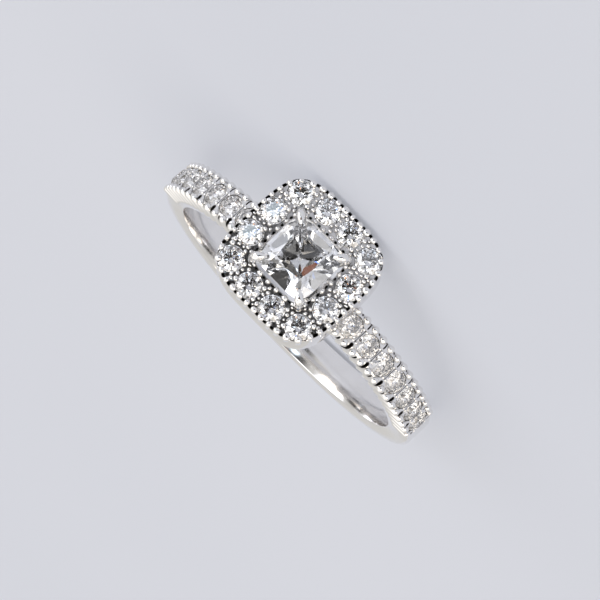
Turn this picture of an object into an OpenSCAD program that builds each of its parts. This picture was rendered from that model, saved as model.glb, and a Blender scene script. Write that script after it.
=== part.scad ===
// A halo ring: a cushion-cut diamond in four claws, a cushion halo of round
// brilliants, and bead-set shoulders on a plain polished hoop.
// Every piece is drawn as the ring is worn, with the middle of the finger hole at
// zero, X along the band at the head, Y along the finger and Z out through the
// head. lay_down() then lays the ring on its side, with its lowest points at Z = 0.

/* [Finger hoop] */
// Inside diameter of the finger hole
finger_d = 16.5; // [14:0.1:21]
// Thickness of the hoop, from the finger hole outwards
hoop_t = 1.5; // [1.4:0.05:2.2]
// Width of the hoop along the finger
hoop_w = 1.96; // [1.9:0.02:2.6]
// Rounding of the hoop's two outer edges
hoop_edge_r = 0.3; // [0.1:0.05:0.5]

/* [Centre stone] */
// Side of the cushion-cut centre stone
centre_side = 3.6; // [3.2:0.1:4.4]
// Height of the centre stone's girdle above the halo plate
centre_lift = 0.42; // [0.3:0.02:0.8]
// How square the cushion is: 2 is round, 5 is nearly square
centre_squareness = 5; // [3:0.5:7]
// Height of the crown, from the girdle to the table
centre_crown_h = 0.5; // [0.4:0.02:0.7]
// Depth of the pavilion, from the girdle to the culet
centre_pavilion_h = 1.55; // [1.3:0.05:1.8]
// Thickness of the girdle
centre_girdle_t = 0.12; // [0.1:0.01:0.16]

/* [Halo] */
// Diameter of the round brilliants in the halo
halo_stone_d = 1.5; // [1.3:0.05:1.6]
// Gap between the side of the centre stone and the halo stones
halo_gap = 0.34; // [0.28:0.02:0.6]
// Metal outside the halo stones, at the middle of each side
halo_edge = 0.11; // [0.08:0.01:0.2]
// Metal outside the four corner stones
halo_corner_edge = 0.04; // [0.03:0.01:0.12]
// How square the halo's outline is
halo_squareness = 3.9; // [3.4:0.1:4.4]
// Height of the halo's wall
halo_wall_h = 2; // [1.4:0.05:2.4]
// Thickness of the halo's wall
halo_wall_t = 0.5; // [0.35:0.05:0.6]
// Thickness of the plate that carries the halo stones
halo_plate_t = 0.8; // [0.7:0.05:1]
// Gap between the hoop and the lower edge of the halo's wall
head_gap = 0.3; // [0.2:0.05:0.8]
// Number of beads along the halo's outer edge
halo_outer_beads = 44; // [36:4:52]
// Number of beads along the halo's inner edge
halo_inner_beads = 24; // [16:4:28]
// Diameter of a halo bead
halo_bead_d = 0.36; // [0.26:0.02:0.4]
// How far the outer beads stand out past the halo's wall
halo_bead_proud = 0.04; // [0.02:0.01:0.08]

/* [Shoulders] */
// Number of stones on each shoulder
shoulder_stones = 7; // [3:1:8]
// Diameter of the shoulder stones
shoulder_stone_d = 1.36; // [1.2:0.02:1.4]
// Gap between neighbouring shoulder stones
shoulder_gap = 0.13; // [0.1:0.01:0.3]
// How far the first shoulder stone reaches in under the halo's edge
shoulder_tuck = 0.4; // [0:0.05:0.6]
// Diameter of a shoulder bead and of the round post under it
shoulder_bead_d = 0.44; // [0.36:0.02:0.5]
// How far the bead posts stand out of the side of the hoop
post_proud = 0.08; // [0:0.01:0.15]
// Length of the bead posts, down the side of the hoop
post_h = 0.95; // [0.6:0.05:1.1]
// Depth of the shoulder stones' girdles below the outside of the hoop
stone_sink = 0.05; // [0.04:0.01:0.12]

/* [Claws and basket] */
// Diameter of the four claws
claw_d = 0.56; // [0.4:0.02:0.7]
// Diameter of the leaning posts that carry the claws
post_d = 0.48; // [0.36:0.02:0.52]
// Distance of a claw's axis outside the corner of the centre stone
claw_out = 0.12; // [0.05:0.01:0.2]
// Height of a claw's round back above the centre stone's girdle
claw_rise = 0.2; // [0.1:0.02:0.4]
// Length of a claw's tip over the crown
claw_reach = 0.8; // [0.4:0.05:1.1]
// Diameter of a claw at its point
claw_point_d = 0.16; // [0.1:0.02:0.3]
// Length of each bridge between the hoop and the head, along the band
bridge_l = 0.9; // [0.6:0.05:1.2]
// Width of each bridge along the finger
bridge_w = 1.5; // [1:0.05:1.8]

/* [Fit] */
// Clearance between a stone and its metal seat
seat_gap = 0.02; // [0.01:0.005:0.04]

/* [Hidden] */
$fn = 48;
hoop_fn = 240;
// What a cut goes past the faces that it cuts, and what a joined piece is sunk in
over = 0.1;
sink = 0.05;

// Proportions of a cut stone, as shares of its diameter or height
ROUND_TABLE = 0.57;
ROUND_CROWN = 0.15;
ROUND_GIRDLE = 0.03;
ROUND_PAVILION = 0.43;
ROUND_STAR = 0.68;
ROUND_LOWER = 0.78;
ROUND_CULET = 0.02;
SEAT_HOLE = 0.4;
CUSHION_TABLE = 0.56;
CUSHION_STAR = 0.64;
CUSHION_LOWER = 0.6;
CUSHION_CULET = 0.04;

// Radii and heights of the hoop and the head
bore_r = finger_d / 2;
hoop_r = bore_r + hoop_t;
head_z = hoop_r + head_gap;
plate_z = head_z + halo_wall_h;
centre_z = plate_z + centre_lift;
table_z = centre_z + centre_girdle_t / 2 + centre_crown_h;

// The halo: the stones stand on a bowed square, evenly spaced along each side
halo_side = centre_side / 2 + halo_gap + halo_stone_d / 2;
halo_half = halo_side + halo_stone_d / 2 + halo_edge;
halo_diag = cushion_r(halo_half, halo_squareness, 45);
halo_corner = (halo_diag - halo_corner_edge - halo_stone_d / 2) * cos(45);
halo_open = centre_side / 2 + halo_gap / 3;
halo_bead_r = halo_bead_d / 2;
HALO_XY = [
    [-halo_corner, -halo_corner], [-halo_corner / 3, -halo_side], [halo_corner / 3, -halo_side],
    [halo_corner, -halo_corner], [halo_side, -halo_corner / 3], [halo_side, halo_corner / 3],
    [halo_corner, halo_corner], [halo_corner / 3, halo_side], [-halo_corner / 3, halo_side],
    [-halo_corner, halo_corner], [-halo_side, halo_corner / 3], [-halo_side, -halo_corner / 3]
];

// The shoulders: stones at equal angles round the hoop
shoulder_r = hoop_r - stone_sink;
shoulder_step = 2 * asin((shoulder_stone_d + shoulder_gap) / 2 / shoulder_r);
shoulder_start = asin((halo_half - shoulder_tuck) / shoulder_r) + shoulder_step / 2;
bead_r = shoulder_bead_d / 2;
bead_y = hoop_w / 2 + post_proud - bead_r;
bead_z = hoop_r - stone_sink / 2;

// The claws: each post leans out from the hoop to a corner of the centre stone
centre_diag = cushion_r(centre_side / 2, centre_squareness, 45);
claw_r = claw_d / 2;
claw_diag = centre_diag + claw_out;
claw_top_z = centre_z + claw_rise;
post_foot_y = hoop_w / 2 - hoop_edge_r - post_d / 2;
post_foot_x = post_foot_y * 1.5;
bridge_x = halo_half - halo_wall_t / 2 - bridge_l / 2;

// The pose on its side: the lower edge of the halo's wall and the far side of the
// hoop touch the surface together
rest_dz = head_z + hoop_r - hoop_edge_r;
rest_dy = halo_half - hoop_w / 2 + hoop_edge_r;
rest_tilt = atan2(rest_dy, rest_dz) - asin(hoop_edge_r / norm([rest_dy, rest_dz]));
rest_lift = halo_half * cos(rest_tilt) - head_z * sin(rest_tilt);
claw_tip_y = (claw_diag - claw_reach) * cos(45);
front_y = -table_z * cos(rest_tilt) - claw_tip_y * sin(rest_tilt);
back_y = hoop_r * cos(rest_tilt) + (hoop_w / 2 - hoop_edge_r) * sin(rest_tilt);

function two(i) = i < 10 ? str("0", i) : str(i);
HALO_NODES = [for (i = [1:len(HALO_XY)]) str("halo_stone_", two(i))];
LEFT_NODES = [for (i = [1:shoulder_stones]) str("left_shoulder_stone_", two(i))];
RIGHT_NODES = [for (i = [1:shoulder_stones]) str("right_shoulder_stone_", two(i))];

// Distance from the middle of a cushion to its outline, in direction a
function cushion_r(half, squareness, a) =
    half / pow(pow(abs(cos(a)), squareness) + pow(abs(sin(a)), squareness), 1 / squareness);
function cushion_xy(half, squareness, a) = cushion_r(half, squareness, a) * [cos(a), sin(a)];
function cushion_points(half, squareness, n) =
    [for (i = [0:n - 1]) cushion_xy(half, squareness, i * 360 / n)];

// Directions of n beads spaced evenly along a cushion, the first one a share of a
// space past the middle of a side: the outline's length is summed in small steps,
// and each bead's direction is looked up from its share of that length
function path_lengths(p, i = 0, sum = 0) =
    i >= len(p) ? [sum] : concat([sum], path_lengths(p, i + 1, sum + norm(p[(i + 1) % len(p)] - p[i])));
function even_angles(half, squareness, n, first, steps = 180) =
    let (s = path_lengths(cushion_points(half, squareness, steps)))
    let (table = [for (i = [0:steps]) [s[i], i * 360 / steps]])
    [for (i = [0:n - 1]) lookup((i + first) * s[steps] / n, table)];

// Where the upright planes at d1 and d2 from the axis, facing a1 and a2, cross
function meet(a1, d1, a2, d2) =
    [d1 * sin(a2) - d2 * sin(a1), d2 * cos(a1) - d1 * cos(a2)] / sin(a2 - a1);
function with_z(p, z) = [p[0], p[1], z];
// Height at p of the plane through a, b and c
function plane_z(a, b, c, p) =
    let (n = cross(b - a, c - a))
    a[2] - (n[0] * (p[0] - a[0]) + n[1] * (p[1] - a[1])) / n[2];

// A cut stone, its girdle in the plane Z = 0 and its table up. The crown has a
// table, 8 stars, 8 bezels and 16 upper halves, and the pavilion has 8 mains,
// 16 lower halves and a culet. steps is the number of girdle edges to each half.
module cut_stone(half, squareness, table, crown_h, star, girdle_t, pavilion_h, lower, culet, steps) {
    n = 16 * steps;
    zu = girdle_t / 2;
    zl = -girdle_t / 2;
    zm = zu + crown_h * star;
    zw = zl - pavilion_h * lower;
    zc = zl - pavilion_h * (1 - culet);
    a = [for (k = [0:8]) 45 * k];
    r = [for (k = [0:8]) cushion_r(half, squareness, a[k])];
    // Distance of bezel plane k and of main plane k from the axis, at height z
    function up(k, z) = r[k] * (1 - (1 - table) * (z - zu) / crown_h);
    function down(k, z) = r[k] * (1 - (zl - z) / pavilion_h);
    tables = [for (k = [0:7]) with_z(r[k] * table * [cos(a[k]), sin(a[k])], zu + crown_h)];
    mids = [for (k = [0:7]) with_z(meet(a[k], up(k, zm), a[k + 1], up(k + 1, zm)), zm)];
    lows = [for (k = [0:7]) with_z(meet(a[k], down(k, zw), a[k + 1], down(k + 1, zw)), zw)];
    culets = [for (k = [0:7]) with_z(meet(a[k], down(k, zc), a[k + 1], down(k + 1, zc)), zc)];
    rim = cushion_points(half, squareness, n);
    // A half facet runs between girdle points h * steps and (h + 1) * steps
    function half_z(j, z, apex) =
        let (h = floor(j / steps))
        let (p = with_z(rim[h * steps], z))
        let (q = with_z(rim[(h + 1) * steps % n], z))
        plane_z(apex[floor(h / 2)], p, q, rim[j]);
    upper = [for (j = [0:n - 1]) with_z(rim[j], j % steps == 0 ? zu : half_z(j, zu, mids))];
    lower_rim = [for (j = [0:n - 1]) with_z(rim[j], j % steps == 0 ? zl : half_z(j, zl, lows))];
    M = 8;
    U = 16;
    L = U + n;
    W = L + n;
    C = W + 8;
    points = concat(tables, mids, upper, lower_rim, lows, culets);
    faces = concat(
        [[for (k = [7:-1:0]) k]],
        [for (k = [0:7]) [M + k, k, (k + 1) % 8]],
        [for (k = [0:7]) [k, M + k, U + 2 * k * steps, M + (k + 7) % 8]],
        [for (h = [0:15]) concat([M + floor(h / 2)],
            [for (j = [steps:-1:0]) U + (h * steps + j) % n])],
        [for (j = [0:n - 1]) [U + j, U + (j + 1) % n, L + (j + 1) % n, L + j]],
        [for (h = [0:15]) concat([W + floor(h / 2)],
            [for (j = [0:steps]) L + (h * steps + j) % n])],
        [for (k = [0:7]) [C + k, C + (k + 7) % 8, W + (k + 7) % 8, L + 2 * k * steps, W + k]],
        [[for (k = [0:7]) C + k]]
    );
    polyhedron(points, faces, 4);
}

module round_brilliant(d) {
    cut_stone(d / 2, 2, ROUND_TABLE, ROUND_CROWN * d, ROUND_STAR, ROUND_GIRDLE * d,
        ROUND_PAVILION * d, ROUND_LOWER, ROUND_CULET, 1);
}

// The space that a stone takes in its setting, with the clearance all round: a
// double cone that stands over the table, for the tool that cuts the seat
module seat_cutter(r, table_r, crown_h, girdle_t, pavilion_h) {
    g = seat_gap;
    rotate_extrude()
        polygon([
            [0, -girdle_t / 2 - pavilion_h - g], [r + g, -girdle_t / 2 - g], [r + g, girdle_t / 2 + g],
            [table_r + g, girdle_t / 2 + crown_h + g], [0, girdle_t / 2 + crown_h + g]
        ]);
}

module round_seat(d) {
    seat_cutter(d / 2, ROUND_TABLE * d / 2, ROUND_CROWN * d, ROUND_GIRDLE * d, ROUND_PAVILION * d);
}

// Places
module lay_down() {
    translate([0, -(front_y + back_y) / 2, rest_lift])
        rotate([-rest_tilt, 0, 0])
            rotate([0, 180, 0])
                rotate([90, 0, 0])
                    children();
}

module at_halo(i) {
    translate([HALO_XY[i][0], HALO_XY[i][1], plate_z - ROUND_GIRDLE * halo_stone_d / 2])
        children();
}

// Out on shoulder side (1 or -1), a steps of stone pitch after the first stone
module at_shoulder(side, steps) {
    rotate([0, side * (shoulder_start + steps * shoulder_step), 0])
        children();
}

module at_shoulder_stone(side, i) {
    at_shoulder(side, i)
        translate([0, 0, shoulder_r - ROUND_GIRDLE * shoulder_stone_d / 2])
            children();
}

module at_claw(i) {
    rotate([0, 0, 45 + 90 * i])
        children();
}

// Ring mount: one solid of soldered metal
module hoop() {
    e = hoop_edge_r;
    w = hoop_w / 2;
    arc_n = 6;
    rotate([90, 0, 0])
        rotate_extrude($fn = hoop_fn)
            polygon(concat(
                [[bore_r, -w]],
                [for (i = [0:arc_n]) [hoop_r - e, e - w] + e * [sin(i * 90 / arc_n), -cos(i * 90 / arc_n)]],
                [for (i = [0:arc_n]) [hoop_r - e, w - e] + e * [cos(i * 90 / arc_n), sin(i * 90 / arc_n)]],
                [[bore_r, w]]
            ));
}

// Two round-topped posts at each edge for every stone, evenly spaced
module shoulder_posts(side) {
    for (edge = [-1, 1])
        for (i = [0:2 * shoulder_stones - 1])
            at_shoulder(side, (i - 0.5) / 2)
                translate([0, edge * bead_y, bead_z]) {
                    translate([0, 0, -post_h])
                        cylinder(h = post_h, r = bead_r);
                    sphere(r = bead_r);
                }
}

module halo_cup() {
    difference() {
        translate([0, 0, head_z])
            linear_extrude(halo_wall_h)
                polygon(cushion_points(halo_half, halo_squareness, 96));
        translate([0, 0, head_z - over])
            linear_extrude(halo_wall_h - halo_plate_t + over)
                polygon(cushion_points(halo_half - halo_wall_t, halo_squareness, 96));
        translate([0, 0, head_z])
            linear_extrude(halo_wall_h + over)
                polygon(cushion_points(halo_open, centre_squareness, 64));
    }
}

module halo_beads() {
    outer = halo_half + halo_bead_proud - halo_bead_r;
    for (a = even_angles(outer, halo_squareness, halo_outer_beads, 0))
        translate(with_z(cushion_xy(outer, halo_squareness, a), plate_z))
            sphere(r = halo_bead_r);
    inner = halo_open + halo_bead_r / 2;
    for (a = even_angles(inner, centre_squareness, halo_inner_beads, 0.5))
        translate(with_z(cushion_xy(inner, centre_squareness, a), plate_z))
            sphere(r = halo_bead_r);
}

module basket_posts() {
    for (sx = [-1, 1])
        for (sy = [-1, 1]) {
            top = [sx * claw_diag * cos(45), sy * claw_diag * sin(45), centre_z];
            foot = [sx * post_foot_x, sy * post_foot_y, hoop_r - post_d];
            along = top - foot;
            translate(foot)
                rotate([0, acos(along[2] / norm(along)), atan2(along[1], along[0])])
                    cylinder(h = norm(along), r = post_d / 2);
        }
}

module claws() {
    for (i = [0:3])
        at_claw(i) {
            translate([claw_diag, 0, centre_z - claw_r])
                cylinder(h = claw_rise + claw_r, r = claw_r);
            translate([claw_diag, 0, claw_top_z])
                sphere(r = claw_r);
            tip_x = claw_diag - claw_reach;
            slope = (table_z - centre_z) / (centre_diag * (1 - CUSHION_TABLE));
            tip_z = centre_z + (centre_diag - tip_x) * slope;
            along = [tip_x - claw_diag, tip_z - claw_top_z];
            translate([claw_diag, 0, claw_top_z])
                rotate([0, -90 + atan2(along[1], -along[0]), 0])
                    cylinder(h = norm(along), r1 = claw_r * 0.95, r2 = claw_point_d / 2);
        }
}

module bridges() {
    for (side = [-1, 1])
        translate([side * bridge_x - bridge_l / 2, -bridge_w / 2, bore_r + hoop_t / 2])
            cube([bridge_l, bridge_w, plate_z - halo_plate_t + sink - bore_r - hoop_t / 2]);
}

module halo_seats() {
    for (i = [0:len(HALO_XY) - 1])
        at_halo(i) {
            round_seat(halo_stone_d);
            // The hole drilled through the plate under each stone
            translate([0, 0, -halo_plate_t - over])
                cylinder(h = halo_plate_t, r = SEAT_HOLE * halo_stone_d / 2);
        }
}

module shoulder_seats() {
    for (side = [-1, 1])
        for (i = [0:shoulder_stones - 1])
            at_shoulder_stone(side, i)
                round_seat(shoulder_stone_d);
}

module centre_seat() {
    translate([0, 0, centre_z])
        seat_cutter(centre_diag, centre_diag * CUSHION_TABLE, centre_crown_h, centre_girdle_t, centre_pavilion_h);
}

module set_hoop() {
    difference() {
        union() {
            hoop();
            shoulder_posts(-1);
            shoulder_posts(1);
        }
        shoulder_seats();
    }
}

module halo() {
    difference() {
        union() {
            halo_cup();
            halo_beads();
        }
        halo_seats();
    }
}

module head() {
    difference() {
        union() {
            halo();
            basket_posts();
            claws();
            bridges();
        }
        centre_seat();
    }
}

// The first shoulder stones reach in under the halo, beside the bridges, so their
// seats are cut from the head too
module ring_mount() {
    color("#D9D9DC")
        lay_down() {
            difference() {
                head();
                shoulder_seats();
            }
            set_hoop();
        }
}

// Stones
module centre_stone() {
    color("#F4F7FA")
        lay_down()
            translate([0, 0, centre_z])
                cut_stone(centre_side / 2, centre_squareness, CUSHION_TABLE, centre_crown_h, CUSHION_STAR,
                    centre_girdle_t, centre_pavilion_h, CUSHION_LOWER, CUSHION_CULET, 3);
}

module halo_stone(i) {
    color("#EDF2F6")
        lay_down()
            at_halo(i)
                round_brilliant(halo_stone_d);
}

module shoulder_stone(side, i) {
    color("#EDF2F6")
        lay_down()
            at_shoulder_stone(side, i)
                round_brilliant(shoulder_stone_d);
}

ring_mount();
centre_stone();
for (i = [0:len(HALO_NODES) - 1])
    halo_stone(i);
for (i = [0:shoulder_stones - 1]) {
    shoulder_stone(1, i);
    shoulder_stone(-1, i);
}
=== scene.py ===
# %% [markdown]
# # A halo ring, lying on its side
# A diamond ring is two kinds of thing: polished metal that mirrors the room, and cut
# stones that bend it. Both are only as good as their small edges, so this lesson
# builds the beads, claws, slots and facets one by one, at their real size.
#
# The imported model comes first. It says where every piece sits, in metres.
# %% Load the frame
import math
import random

import bmesh
import bpy
from mathutils import Matrix, Vector


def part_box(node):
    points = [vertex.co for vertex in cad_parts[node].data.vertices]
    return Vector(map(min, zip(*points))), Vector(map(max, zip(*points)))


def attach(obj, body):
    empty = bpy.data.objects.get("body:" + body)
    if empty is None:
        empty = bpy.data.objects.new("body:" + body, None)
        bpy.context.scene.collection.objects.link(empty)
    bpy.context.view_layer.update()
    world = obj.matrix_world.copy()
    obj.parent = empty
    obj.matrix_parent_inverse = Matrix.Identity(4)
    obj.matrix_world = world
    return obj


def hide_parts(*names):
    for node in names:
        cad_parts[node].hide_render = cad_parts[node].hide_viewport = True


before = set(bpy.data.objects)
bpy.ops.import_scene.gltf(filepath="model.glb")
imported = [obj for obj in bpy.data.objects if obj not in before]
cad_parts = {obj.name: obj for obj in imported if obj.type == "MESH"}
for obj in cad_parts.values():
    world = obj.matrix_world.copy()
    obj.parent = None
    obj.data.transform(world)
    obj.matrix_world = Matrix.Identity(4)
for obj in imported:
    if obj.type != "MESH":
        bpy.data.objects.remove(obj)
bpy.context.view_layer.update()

# %% [markdown]
# ## One frame for drawing, one for lying down
# A ring is easiest to draw as it is worn: X along the band, Y along the finger, Z out
# through the stones, zero in the middle of the finger hole, in millimetres. One
# matrix then lays every mesh on the table, the same way the solid model does it.
# %% The sizes and the lay-down matrix
# The finger hoop: its radii inside and outside, its width and its rounded edges
BORE_R, HOOP_R, HOOP_W, HOOP_EDGE = 8.25, 9.75, 1.96, 0.3
# The halo's cup: its lower edge, its top, and the thickness of its plate and wall
HEAD_Z, PLATE_Z, PLATE_T, WALL_T = 10.05, 12.05, 0.8, 0.5
# The halo's outline and opening: half of their width, and the outline's squareness
HALO_HALF, HALO_SQUARE, HALO_OPEN = 3.75, 3.9, 1.92
# The centre stone: half of its width, its squareness and the height of its girdle
CENTRE_HALF, CENTRE_SQUARE, CENTRE_Z = 1.8, 5.0, 12.47
# The halo stones: how far out the sides and the corners stand, and the diameter
HALO_SIDE, HALO_CORNER, HALO_D = 2.89, 2.581, 1.5
# The shoulder stones: diameter, radius of the row, number and the gap between two
SHOULDER_D, SHOULDER_R, SHOULDER_N, SHOULDER_GAP = 1.36, 9.7, 7, 0.13
# How far the first of them reaches in under the halo
SHOULDER_TUCK = 0.4
SHOULDER_STEP = 2 * math.asin((SHOULDER_D + SHOULDER_GAP) / 2 / SHOULDER_R)
SHOULDER_START = math.asin((HALO_HALF - SHOULDER_TUCK) / SHOULDER_R) + SHOULDER_STEP / 2
# Clearance between a stone and its seat
SEAT_GAP = 0.02
# A girdle is 3% of the diameter high, and half of that is above the girdle's middle
HALF_GIRDLE = 0.015
# How the ring lies on its side: its tilt, and how far it is moved back and up
REST_TILT, REST_SHIFT, REST_LIFT = math.radians(8.0762), 1.65227, 2.30088
MM = 0.001

# Read from the last line up: the stones are turned to face -Y, the ring is tipped by
# its rest tilt, moved to its place, and scaled from millimetres to metres
LAY_DOWN = (
    Matrix.Scale(MM, 4)
    @ Matrix.Translation((0, REST_SHIFT, REST_LIFT))
    @ Matrix.Rotation(-REST_TILT, 4, "X")
    @ Matrix.Rotation(math.pi, 4, "Y")
    @ Matrix.Rotation(math.pi / 2, 4, "X")
)
lowest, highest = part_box("centre_stone")
middle = LAY_DOWN @ Vector((0, 0, CENTRE_Z))
print("the centre stone sits", [round(v * 1000, 2) for v in middle], "mm and its solid spans",
      [round(v * 1000, 2) for v in (*lowest, *highest)])

# %% [markdown]
# ## A helper for every node
# Shader trees and geometry trees are both nodes and links. One function adds a node,
# sets its settings and fills its inputs, either with a value or with another
# node's output.
# %% add() and the colours
def add(tree, kind, inputs=None, **settings):
    """Adds a node; an input is given a value or another node's output socket."""
    made = tree.nodes.new(kind)
    for name, value in settings.items():
        setattr(made, name, value)
    for name, value in (inputs or {}).items():
        if isinstance(value, bpy.types.NodeSocket):
            tree.links.new(value, made.inputs[name])
        else:
            made.inputs[name].default_value = value
    return made


def linear(hex_colour):
    """An sRGB hex colour as the linear RGBA that Blender works in."""
    parts = [int(hex_colour[i:i + 2], 16) / 255 for i in (1, 3, 5)]
    return [p / 12.92 if p <= 0.04045 else ((p + 0.055) / 1.055) ** 2.4 for p in parts] + [1.0]


# %% [markdown]
# ## White gold, polished and rhodium plated
# White gold is a pale warm grey, and its rhodium plate makes it a bright, nearly neutral
# mirror. What the eye takes for "white" is the room in it. The polishing wheel leaves
# fine lines and a faint waviness that softens the reflections here and there, and it
# never reaches the crevices round the beads, which stay dull. Their colour is darkened
# partly as dirt and partly as painted shade: an Ambient Occlusion node finds those
# crevices by itself and mixes a dark colour into them.
#
# Noise scales count features in a metre: 900 makes the tone drift over about 1 mm,
# and 9000 draws polish lines 0.1 mm apart. Real lines are ten times finer, too fine
# to show from 25 cm.
# %% The metal
# How near other metal makes a crevice, and how deep the waviness is drawn
CREVICE, WAVE_DEPTH = 0.3 * MM, 0.02 * MM
DRIFT_SCALE, LINE_SCALE = 900.0, 9000.0
# The shares of open sky at which a crevice gets all of its dark colour, dirt and painted shade, and at which it gets
# none
GRIME_AND_SHADE_FULL, GRIME_AND_SHADE_NONE = 0.25, 0.85
# Most values of a noise lie between these, and they vary the gloss by this share
NOISE_LOW, NOISE_HIGH, GLOSS_SPREAD = 0.3, 0.7, 0.3


def polished_metal(name, pale, deep, roughness, wave, grime_and_shade="#3A3632"):
    """A white metal: its tone drifts, polish lines vary its gloss, and its crevices are darkened, partly as dirt and
    partly as painted shade.
    """
    made = bpy.data.materials.new(name)
    made.use_nodes = True
    tree = made.node_tree
    shader = tree.nodes["Principled BSDF"]
    where = add(tree, "ShaderNodeTexCoord").outputs["Object"]
    drift = add(tree, "ShaderNodeTexNoise", {"Vector": where, "Scale": DRIFT_SCALE, "Detail": 3.0})
    tone = add(tree, "ShaderNodeMix", {"Factor": drift.outputs["Fac"]}, data_type="RGBA")
    tone.inputs["A"].default_value = linear(pale)
    tone.inputs["B"].default_value = linear(deep)
    # Painted shade and dirt: where little open sky reaches the metal, its colour is mixed towards a dark one
    open_sky = add(tree, "ShaderNodeAmbientOcclusion", {"Distance": CREVICE}, samples=8)
    open_share = add(tree, "ShaderNodeMapRange", {
        "Value": open_sky.outputs["AO"], "From Min": GRIME_AND_SHADE_FULL, "From Max": GRIME_AND_SHADE_NONE})
    darkened_in_crevices = add(tree, "ShaderNodeMix", {"Factor": open_share.outputs["Result"]}, data_type="RGBA")
    darkened_in_crevices.inputs["A"].default_value = linear(grime_and_shade)
    tree.links.new(tone.outputs["Result"], darkened_in_crevices.inputs["B"])
    tree.links.new(darkened_in_crevices.outputs["Result"], shader.inputs["Base Color"])
    lines = add(tree, "ShaderNodeTexNoise", {"Vector": where, "Scale": LINE_SCALE, "Detail": 2.0})
    gloss = add(tree, "ShaderNodeMapRange", {
        "Value": lines.outputs["Fac"], "From Min": NOISE_LOW, "From Max": NOISE_HIGH,
        "To Min": roughness * (1 - GLOSS_SPREAD), "To Max": roughness * (1 + GLOSS_SPREAD)})
    tree.links.new(gloss.outputs["Result"], shader.inputs["Roughness"])
    bump = add(tree, "ShaderNodeBump", {"Height": drift.outputs["Fac"], "Strength": wave, "Distance": WAVE_DEPTH})
    tree.links.new(bump.outputs["Normal"], shader.inputs["Normal"])
    shader.inputs["Metallic"].default_value = 1.0
    return made


# Plated and buffed: a bright, nearly neutral mirror with a faint wave in it
rhodium_plate = polished_metal("rhodium_plated_white_gold", "#F4F3F2", "#E6E4E3", 0.10, 0.15)
# Burnished with a steel point: the brightest and smoothest metal, for beads and claws
bright_cut = polished_metal("bright_cut_white_gold", "#FAF9F8", "#EEECEA", 0.05, 0.05)
# Left by the saw: grey and dull, and painted darker as the shade in a slot, which draws the dark line between stones
sawn_recess_painted_shade = polished_metal("sawn_white_gold_recess_painted_shade", "#9A958F", "#6A6661", 0.40, 0.3)
# Turned by a round burr: its crevices are painted only a pale shade, so it stays bright even in its depth and lights
# its stone
bored_seat = polished_metal("bored_white_gold_seat", "#FAF8F5", "#ECE9E5", 0.08, 0.4, "#C9C5C0")
print("metals:", rhodium_plate.name, bright_cut.name, sawn_recess_painted_shade.name, bored_seat.name)

# %% [markdown]
# ## Diamond
# Diamond bends light more than any other clear stone, with an index of 2.417, so most
# light that enters the crown comes back out of it. The facets are polished mirrors; the
# girdle, the thin band where the cutter held the stone, is left finely ground.
#
# The faint cloud of tint in a stone is about 1.4 mm across: 700 in a metre.
# %% The stones' materials
CLOUD_SCALE = 700.0
DIAMOND_IOR = 2.417


def stone_material(name, tint, haze, roughness):
    """Clear diamond, with a faint cloud of tint through it and the given polish."""
    made = bpy.data.materials.new(name)
    made.use_nodes = True
    tree = made.node_tree
    shader = tree.nodes["Principled BSDF"]
    where = add(tree, "ShaderNodeTexCoord").outputs["Object"]
    cloud = add(tree, "ShaderNodeTexNoise", {"Vector": where, "Scale": CLOUD_SCALE, "Detail": 1.0})
    tone = add(tree, "ShaderNodeMix", {"Factor": cloud.outputs["Fac"]}, data_type="RGBA")
    tone.inputs["A"].default_value = linear(tint)
    tone.inputs["B"].default_value = linear(haze)
    tree.links.new(tone.outputs["Result"], shader.inputs["Base Color"])
    shader.inputs["Roughness"].default_value = roughness
    shader.inputs["IOR"].default_value = DIAMOND_IOR
    shader.inputs["Transmission Weight"].default_value = 1.0
    return made


# The facets: clear mirrors that bend what is behind them
diamond = stone_material("cut_diamond", "#FFFFFF", "#F8FAFF", 0.0)
# The girdle: as clear, but ground, so that it looks like a white thread
ground_girdle = stone_material("ground_diamond_girdle", "#F2F4F8", "#E6E9F0", 0.35)
print("stones:", diamond.name, ground_girdle.name)

# %% [markdown]
# ## How a finished piece is handed over
# Every piece is drawn in worn millimetres. This helper lays its mesh down, puts its
# object at the origin, ties it to the ring and hides the solids that it stands for.
# %% finish_piece()
def finish_piece(name, mesh, slot, *replaced):
    """The mesh becomes a piece that rides with the ring and stands for the given solids."""
    mesh.transform(LAY_DOWN)
    mesh.update()
    mesh.name = name
    piece = bpy.data.objects.new(name, mesh)
    bpy.context.scene.collection.objects.link(piece)
    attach(piece, "root")
    if replaced:
        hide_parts(*replaced)
    mesh.calc_loop_triangles()
    print(name, "has", len(mesh.loop_triangles), "triangles")
    return piece


helpers = []


def loose_object(name, mesh):
    """A helper object that the trees read and that is removed again at the end."""
    made = bpy.data.objects.new(name, mesh)
    bpy.context.scene.collection.objects.link(made)
    helpers.append(made)
    return made


def mesh_from(name, points, faces, smooth=True, materials=()):
    """A closed mesh from points and faces, its faces turned outwards."""
    made = bpy.data.meshes.new(name)
    made.from_pydata([tuple(p) for p in points], [], faces)
    work = bmesh.new()
    work.from_mesh(made)
    bmesh.ops.recalc_face_normals(work, faces=work.faces)
    work.to_mesh(made)
    work.free()
    made.polygons.foreach_set("use_smooth", [smooth] * len(made.polygons))
    for m in materials:
        made.materials.append(m)
    return made


# %% [markdown]
# ## The cushion outline
# The centre stone, the halo and its opening share one kind of outline: a superellipse,
# a circle that is pushed towards a square. At 2 it is round, at 5 nearly square.
# %% cushion_point()
def cushion_r(half, square, angle):
    """How far out the outline is at an angle."""
    return half / (abs(math.cos(angle)) ** square + abs(math.sin(angle)) ** square) ** (1 / square)


def cushion_point(half, square, angle, z=0.0):
    """The outline's point at an angle."""
    r = cushion_r(half, square, angle)
    return Vector((r * math.cos(angle), r * math.sin(angle), z))


def cushion_ring(half, square, z, count):
    """The whole outline as a ring of points."""
    return [cushion_point(half, square, 2 * math.pi * i / count, z) for i in range(count)]


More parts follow.
